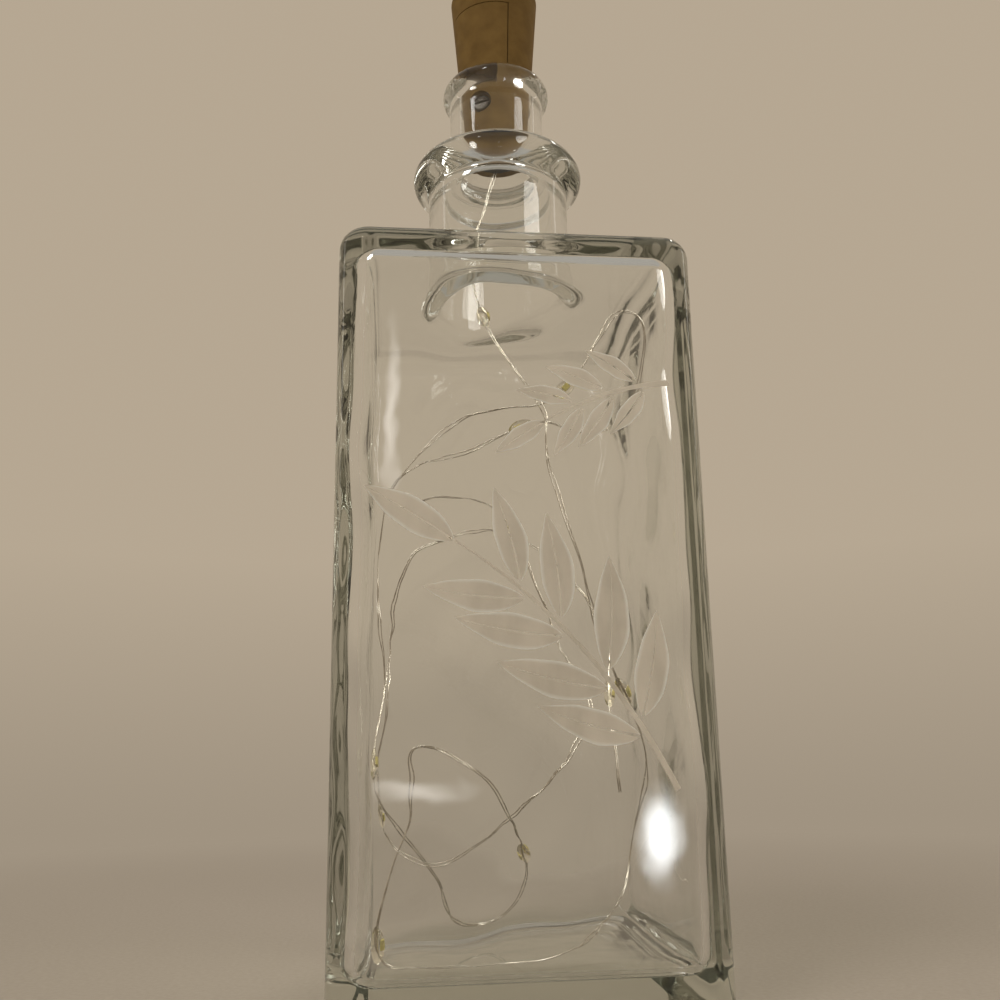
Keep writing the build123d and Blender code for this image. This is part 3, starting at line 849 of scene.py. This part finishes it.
def leaf_outlines(root, direction, length, bend):
    """The two halves of a leaf: its rows of points, and how near the rim each row is."""
    along = Vector((cos(direction), sin(direction)))
    aside = Vector((-along.y, along.x))
    width = LEAF_WIDTH * length
    halves = []
    for side in (1, -1):
        rib, edge = [], []
        for step in range(LEAF_STEPS + 1):
            share = step / LEAF_STEPS
            line = root + along * share * length + aside * bend * length * share**2
            gap = RIB_GAP * (1 - share)
            swell = LEAF_POINT
            if 0 < step < LEAF_STEPS:
                swell = width / 2 * sin(pi * share**LEAF_BELLY) ** LEAF_FULLNESS
            phase = EDGE_STEP_PHASE * step + EDGE_SIDE_PHASE * side + EDGE_LENGTH_PHASE * length
            swell += EDGE_ROUGHNESS * sin(pi * share) * sin(phase)
            rib.append(line + aside * side * gap)
            edge.append(line + aside * side * (gap + swell))
        halves.append(((rib, edge), (0.0, 1.0)) if side > 0 else ((edge, rib), (1.0, 0.0)))
    return halves


def stem_outline(points, width):
    """A stem that thins towards its tip, as two rows of points."""
    left, right = [], []
    for index, point in enumerate(points):
        ahead = points[min(index + 1, len(points) - 1)] - points[max(index - 1, 0)]
        aside = Vector((-ahead.y, ahead.x)).normalized()
        half = width / 2 * (1 - STEM_THINNING * index / (len(points) - 1))
        left.append(point + aside * half)
        right.append(point - aside * half)
    return right, left


def frosted_patch(rows):
    """A thin closed patch on the front face, between two rows of points."""
    count = len(rows[0])
    points = []
    for depth in (FROST_GAP, FROST_GAP + FROST_DEPTH):
        for row in rows:
            points += [Vector((place.x, front_face - depth, place.y)) * MM for place in row]
    low, high, front_low, front_high = (count * k for k in range(4))
    faces = []
    for i in range(count - 1):
        j = i + 1
        faces.append((front_low + i, front_low + j, front_high + j, front_high + i))
        faces.append((low + i, high + i, high + j, low + j))
        faces.append((low + i, low + j, front_low + j, front_low + i))
        faces.append((high + i, front_high + i, front_high + j, high + j))
    faces.append((low, front_low, front_high, high))
    end = count - 1
    faces.append((low + end, high + end, front_high + end, front_low + end))
    return points, faces


def sprig(name, root, middle, tip, leaf_length, pairs):
    """A curved stem with leaves in pairs and one at its tip."""
    root, middle, tip = Vector(root), Vector(middle), Vector(tip)
    stem = []
    for step in range(STEM_STEPS + 1):
        share = step / STEM_STEPS
        stem.append(root.lerp(middle, share).lerp(middle.lerp(tip, share), share))
    patches = [(stem_outline(stem, STEM_WIDTH), (0.0, 0.0))]
    for pair in range(pairs):
        for side in (1, -1):
            share = FIRST_LEAF + LEAVES_SPAN * (pair + PAIR_STAGGER * (side < 0)) / pairs
            index = round(share * STEM_STEPS)
            heading = stem[min(index + 1, STEM_STEPS)] - stem[index - 1]
            spread = side * radians(LEAF_ANGLE - ANGLE_CLOSING * share)
            direction = atan2(heading.y, heading.x) + spread
            length = leaf_length * (LEAF_LONGEST - LEAF_SHORTENING * abs(share - LONGEST_PLACE))
            away = Vector((cos(direction), sin(direction)))
            leaf_root = stem[index] + away * (STEM_WIDTH + LEAF_STALK)
            patches += leaf_outlines(leaf_root, direction, length, LEAF_BEND * side)
    heading = (stem[-1] - stem[-3]).normalized()
    leaf_root = stem[-1] + heading * LEAF_STALK
    patches += leaf_outlines(leaf_root, atan2(heading.y, heading.x), leaf_length, TIP_BEND)
    points, faces, nearness = [], [], []
    for rows, rims in patches:
        patch_points, patch_faces = frosted_patch(rows)
        faces += [tuple(len(points) + corner for corner in face) for face in patch_faces]
        points += patch_points
        nearness += 2 * [rim for row, rim in zip(rows, rims) for place in row]
    piece = new_piece(name, points, faces, frosted_white, "bottle", "clear_glass")
    layer = piece.data.attributes.new(RIM_LAYER, "FLOAT", "POINT")
    layer.data.foreach_set("value", nearness)
    piece.data.polygons.foreach_set("use_smooth", [False] * len(piece.data.polygons))


sprig("frosted_sprig_large", (25.5, 38.0), (12.0, 66.0), (-13.0, 82.0), 19.0, 4)
sprig("frosted_sprig_small", (28.0, 113.0), (15.0, 112.0), (4.0, 105.0), 11.0, 3)


# Stage: a pale round sweep, open at the top
FLOOR_DROP = 0.00005
FLOOR_RADIUS = 0.62
COVE_RADIUS = 0.35
SWEEP_HEIGHT = 1.3
SWEEP_SIDES = 96
FLOOR_RINGS = (0.02, 0.1, 0.2, 0.3, 0.4, 0.5)
GLOW_START = 0.12
GLOW_FULL = 0.45
WALL_FADE_HEIGHT = 0.26
# The sweep's glow is painted darker towards its foot: painted shade that stands in for the lit floor's
# own shading.
FOOT_PAINTED_SHADE = (0.352, 0.292, 0.220)
WALL_COLOUR = (0.468, 0.388, 0.290)


def sweep_rings():
    """Rings of the sweep, from the middle of the floor out to its rim."""
    profile = [(radius, 0.0) for radius in FLOOR_RINGS]
    profile += arc((FLOOR_RADIUS, COVE_RADIUS), COVE_RADIUS, -90, 0, steps=16)
    profile.append((FLOOR_RADIUS + COVE_RADIUS, SWEEP_HEIGHT))
    rings = []
    for radius, height in profile:
        ring = []
        for step in range(SWEEP_SIDES):
            angle = -2 * pi * step / SWEEP_SIDES
            ring.append(Vector((radius * cos(angle), radius * sin(angle), height - FLOOR_DROP)))
        rings.append(ring)
    return rings


def sweep_surface():
    """Pale warm paper with a faint grain, whose glowing wall has painted shade at its foot and
    brightens upwards, also through the glass.
    """
    material = plain_surface(
        "pale_sweep",
        low=(0.345, 0.298, 0.243),
        high=(0.375, 0.325, 0.265),
        scale=900.0,
        rough=(0.7, 0.85),
        relief=0.00002,
        shine=0.0,
    )
    tree = material.node_tree
    path = tree.nodes.new("ShaderNodeLightPath")
    seen = path.outputs["Is Camera Ray"]
    for kind in ("Is Glossy Ray", "Is Transmission Ray"):
        either = tree.nodes.new("ShaderNodeMath")
        either.operation = "MAXIMUM"
        tree.links.new(seen, either.inputs[0])
        tree.links.new(path.outputs[kind], either.inputs[1])
        seen = either.outputs["Value"]
    place = tree.nodes.new("ShaderNodeNewGeometry")
    reach = tree.nodes.new("ShaderNodeVectorMath")
    reach.operation = "LENGTH"
    rise = tree.nodes.new("ShaderNodeMapRange")
    rise.interpolation_type = "SMOOTHSTEP"
    rise.inputs["From Min"].default_value = GLOW_START
    rise.inputs["From Max"].default_value = GLOW_FULL
    both = tree.nodes.new("ShaderNodeMath")
    both.operation = "MULTIPLY"
    glow = tree.nodes.new("ShaderNodeEmission")
    split = tree.nodes.new("ShaderNodeSeparateXYZ")
    climb = tree.nodes.new("ShaderNodeMath")
    climb.operation = "DIVIDE"
    climb.inputs[1].default_value = WALL_FADE_HEIGHT
    tree.links.new(place.outputs["Position"], split.inputs["Vector"])
    tree.links.new(split.outputs["Z"], climb.inputs[0])
    shade = ramp(material, climb.outputs["Value"], FOOT_PAINTED_SHADE, WALL_COLOUR, 0.0, 1.0)
    tree.links.new(shade, glow.inputs["Color"])
    mix = tree.nodes.new("ShaderNodeMixShader")
    tree.links.new(place.outputs["Position"], reach.inputs[0])
    tree.links.new(reach.outputs["Value"], rise.inputs["Value"])
    tree.links.new(rise.outputs["Result"], both.inputs[0])
    tree.links.new(seen, both.inputs[1])
    tree.links.new(both.outputs["Value"], mix.inputs["Fac"])
    tree.links.new(tree.nodes["Principled BSDF"].outputs["BSDF"], mix.inputs[1])
    tree.links.new(glow.outputs["Emission"], mix.inputs[2])
    tree.links.new(mix.outputs["Shader"], tree.nodes["Material Output"].inputs["Surface"])
    return material


sweep_points, sweep_faces = loft(sweep_rings())
sweep_points.append(Vector((0.0, 0.0, -FLOOR_DROP)))
for step in range(SWEEP_SIDES):
    sweep_faces.append((len(sweep_points) - 1, (step + 1) % SWEEP_SIDES, step))
pale_sweep = new_piece("pale_sweep", sweep_points, sweep_faces, sweep_surface())


# Light: soft lamps, small ones that reach the wire alone, glints, and an even sky
GLASS_BOUNCES = 24
LAMP_AIM = Vector((0.0, 0.0, 0.1))
LAMP_MIDDLE = (0.5, 0.5, 0.0)
LAMP_RIM = 0.5
WARM_WHITE = (1.0, 0.97, 0.92)
COOL_WHITE = (0.93, 0.97, 1.0)
SPARK_PLACES = (
    (-0.30, -0.50, 0.70),
    (0.40, 0.30, 0.85),
    (0.48, -0.40, 0.55),
    (-0.50, 0.25, 0.70),
    (0.10, -0.30, 1.00),
)
SPARK_SIZE = 0.06
SPARK_POWER = 10.0
DOT_SIZE = 0.07
DOT_LEVEL = 45.0
STRIP_WIDTH = 0.05
STRIP_HEIGHT = 0.6
STRIP_LEVEL = 1.7
LOW_GLINT_LEVEL = 30.0
GLINT_LEVEL = 7.0
SKY_COLOUR = (1.0, 0.94, 0.84)
SKY_STRENGTH = 0.4


def soften(data):
    """Lets a lamp's face fade from its middle to its rim."""
    data.use_nodes = True
    tree = data.node_tree
    place = tree.nodes.new("ShaderNodeNewGeometry")
    off_middle = tree.nodes.new("ShaderNodeVectorMath")
    off_middle.operation = "DISTANCE"
    off_middle.inputs[1].default_value = LAMP_MIDDLE
    fade = tree.nodes.new("ShaderNodeMapRange")
    fade.interpolation_type = "SMOOTHSTEP"
    fade.inputs["From Min"].default_value = LAMP_RIM
    fade.inputs["From Max"].default_value = 0.0
    tree.links.new(place.outputs["Parametric"], off_middle.inputs[0])
    tree.links.new(off_middle.outputs["Value"], fade.inputs["Value"])
    tree.links.new(fade.outputs["Result"], tree.nodes["Emission"].inputs["Strength"])


def add_lamp(name, place, width, height, power, colour):
    """An oval lamp aimed at the middle of the bottle, out of the camera's sight."""
    data = bpy.data.lights.new(name, "AREA")
    data.shape = "ELLIPSE"
    data.size = width
    data.size_y = height
    data.energy = power
    data.color = colour
    lamp = bpy.data.objects.new(name, data)
    lamp.visible_camera = False
    lamp.location = place
    lamp.rotation_mode = "QUATERNION"
    lamp.rotation_quaternion = (LAMP_AIM - Vector(place)).to_track_quat("-Z", "Y")
    scene.collection.objects.link(lamp)
    return lamp


def add_glint(name, place, width, height, level, colour):
    """A soft oval of a given brightness that lights nothing and only shows as a reflection."""
    area = pi / 4 * width * height
    lamp = add_lamp(name, place, width, height, level * pi * area, colour)
    soften(lamp.data)
    lamp.visible_diffuse = False
    lamp.visible_transmission = False


def mirrored(across, height, reach):
    """A place in front of the bottle that the camera sees mirrored at a point of the front face."""
    point = Vector((across * MM, front_face * MM, height * MM))
    behind = Vector((CAMERA_PLACE.x, 2 * point.y - CAMERA_PLACE.y, CAMERA_PLACE.z))
    return point + (point - behind).normalized() * reach


unseen_lamps = [
    add_lamp("key_lamp", (-0.42, -0.42, 0.68), 0.35, 0.35, 3.2, WARM_WHITE),
    add_lamp("back_lamp", (0.15, 0.5, 0.8), 0.4, 0.4, 2.2, WARM_WHITE),
]
for lamp in unseen_lamps:
    lamp.visible_glossy = False
    lamp.visible_transmission = False
soft_lamps = [
    add_lamp("side_lamp", (-0.57, -0.16, 0.68), 0.2, 0.2, 0.8, WARM_WHITE),
    add_lamp("fill_lamp", (0.55, -0.32, 0.48), 0.35, 0.35, 1.8, WARM_WHITE),
]
for lamp in soft_lamps:
    lamp.visible_glossy = False
sparkling = bpy.data.collections.new("sparkling")
sparkling.objects.link(fairy_wire)
for number, place in enumerate(SPARK_PLACES, 1):
    spark = add_lamp(f"spark_lamp_{number}", place, SPARK_SIZE, SPARK_SIZE, SPARK_POWER, WARM_WHITE)
    spark.visible_diffuse = False
    spark.visible_transmission = False
    spark.light_linking.receiver_collection = sparkling
for name, place in zip(("dot_left", "dot_right"), SPARK_PLACES):
    add_glint(name, place, DOT_SIZE, DOT_SIZE, DOT_LEVEL, WARM_WHITE)
for name, place in (("strip_left", (-0.40, 0.10, 0.32)), ("strip_right", (0.40, 0.06, 0.32))):
    add_glint(name, place, STRIP_WIDTH, STRIP_HEIGHT, STRIP_LEVEL, WARM_WHITE)
add_glint("glint_low", mirrored(22.0, 30.5, 0.15), 0.018, 0.038, LOW_GLINT_LEVEL, COOL_WHITE)
add_glint("glint_tall", mirrored(-24.5, 106.0, 0.30), 0.009, 0.11, GLINT_LEVEL, WARM_WHITE)
add_glint("glint_wide", mirrored(-20.0, 38.5, 0.30), 0.065, 0.016, GLINT_LEVEL, WARM_WHITE)

sky = bpy.data.worlds.new("sky")
sky.use_nodes = True
sky.node_tree.nodes["Background"].inputs["Color"].default_value = (*SKY_COLOUR, 1.0)
sky.node_tree.nodes["Background"].inputs["Strength"].default_value = SKY_STRENGTH
scene.world = sky
scene.view_settings.view_transform = "Standard"
scene.cycles.max_bounces = GLASS_BOUNCES
scene.cycles.glossy_bounces = GLASS_BOUNCES
scene.cycles.transmission_bounces = GLASS_BOUNCES
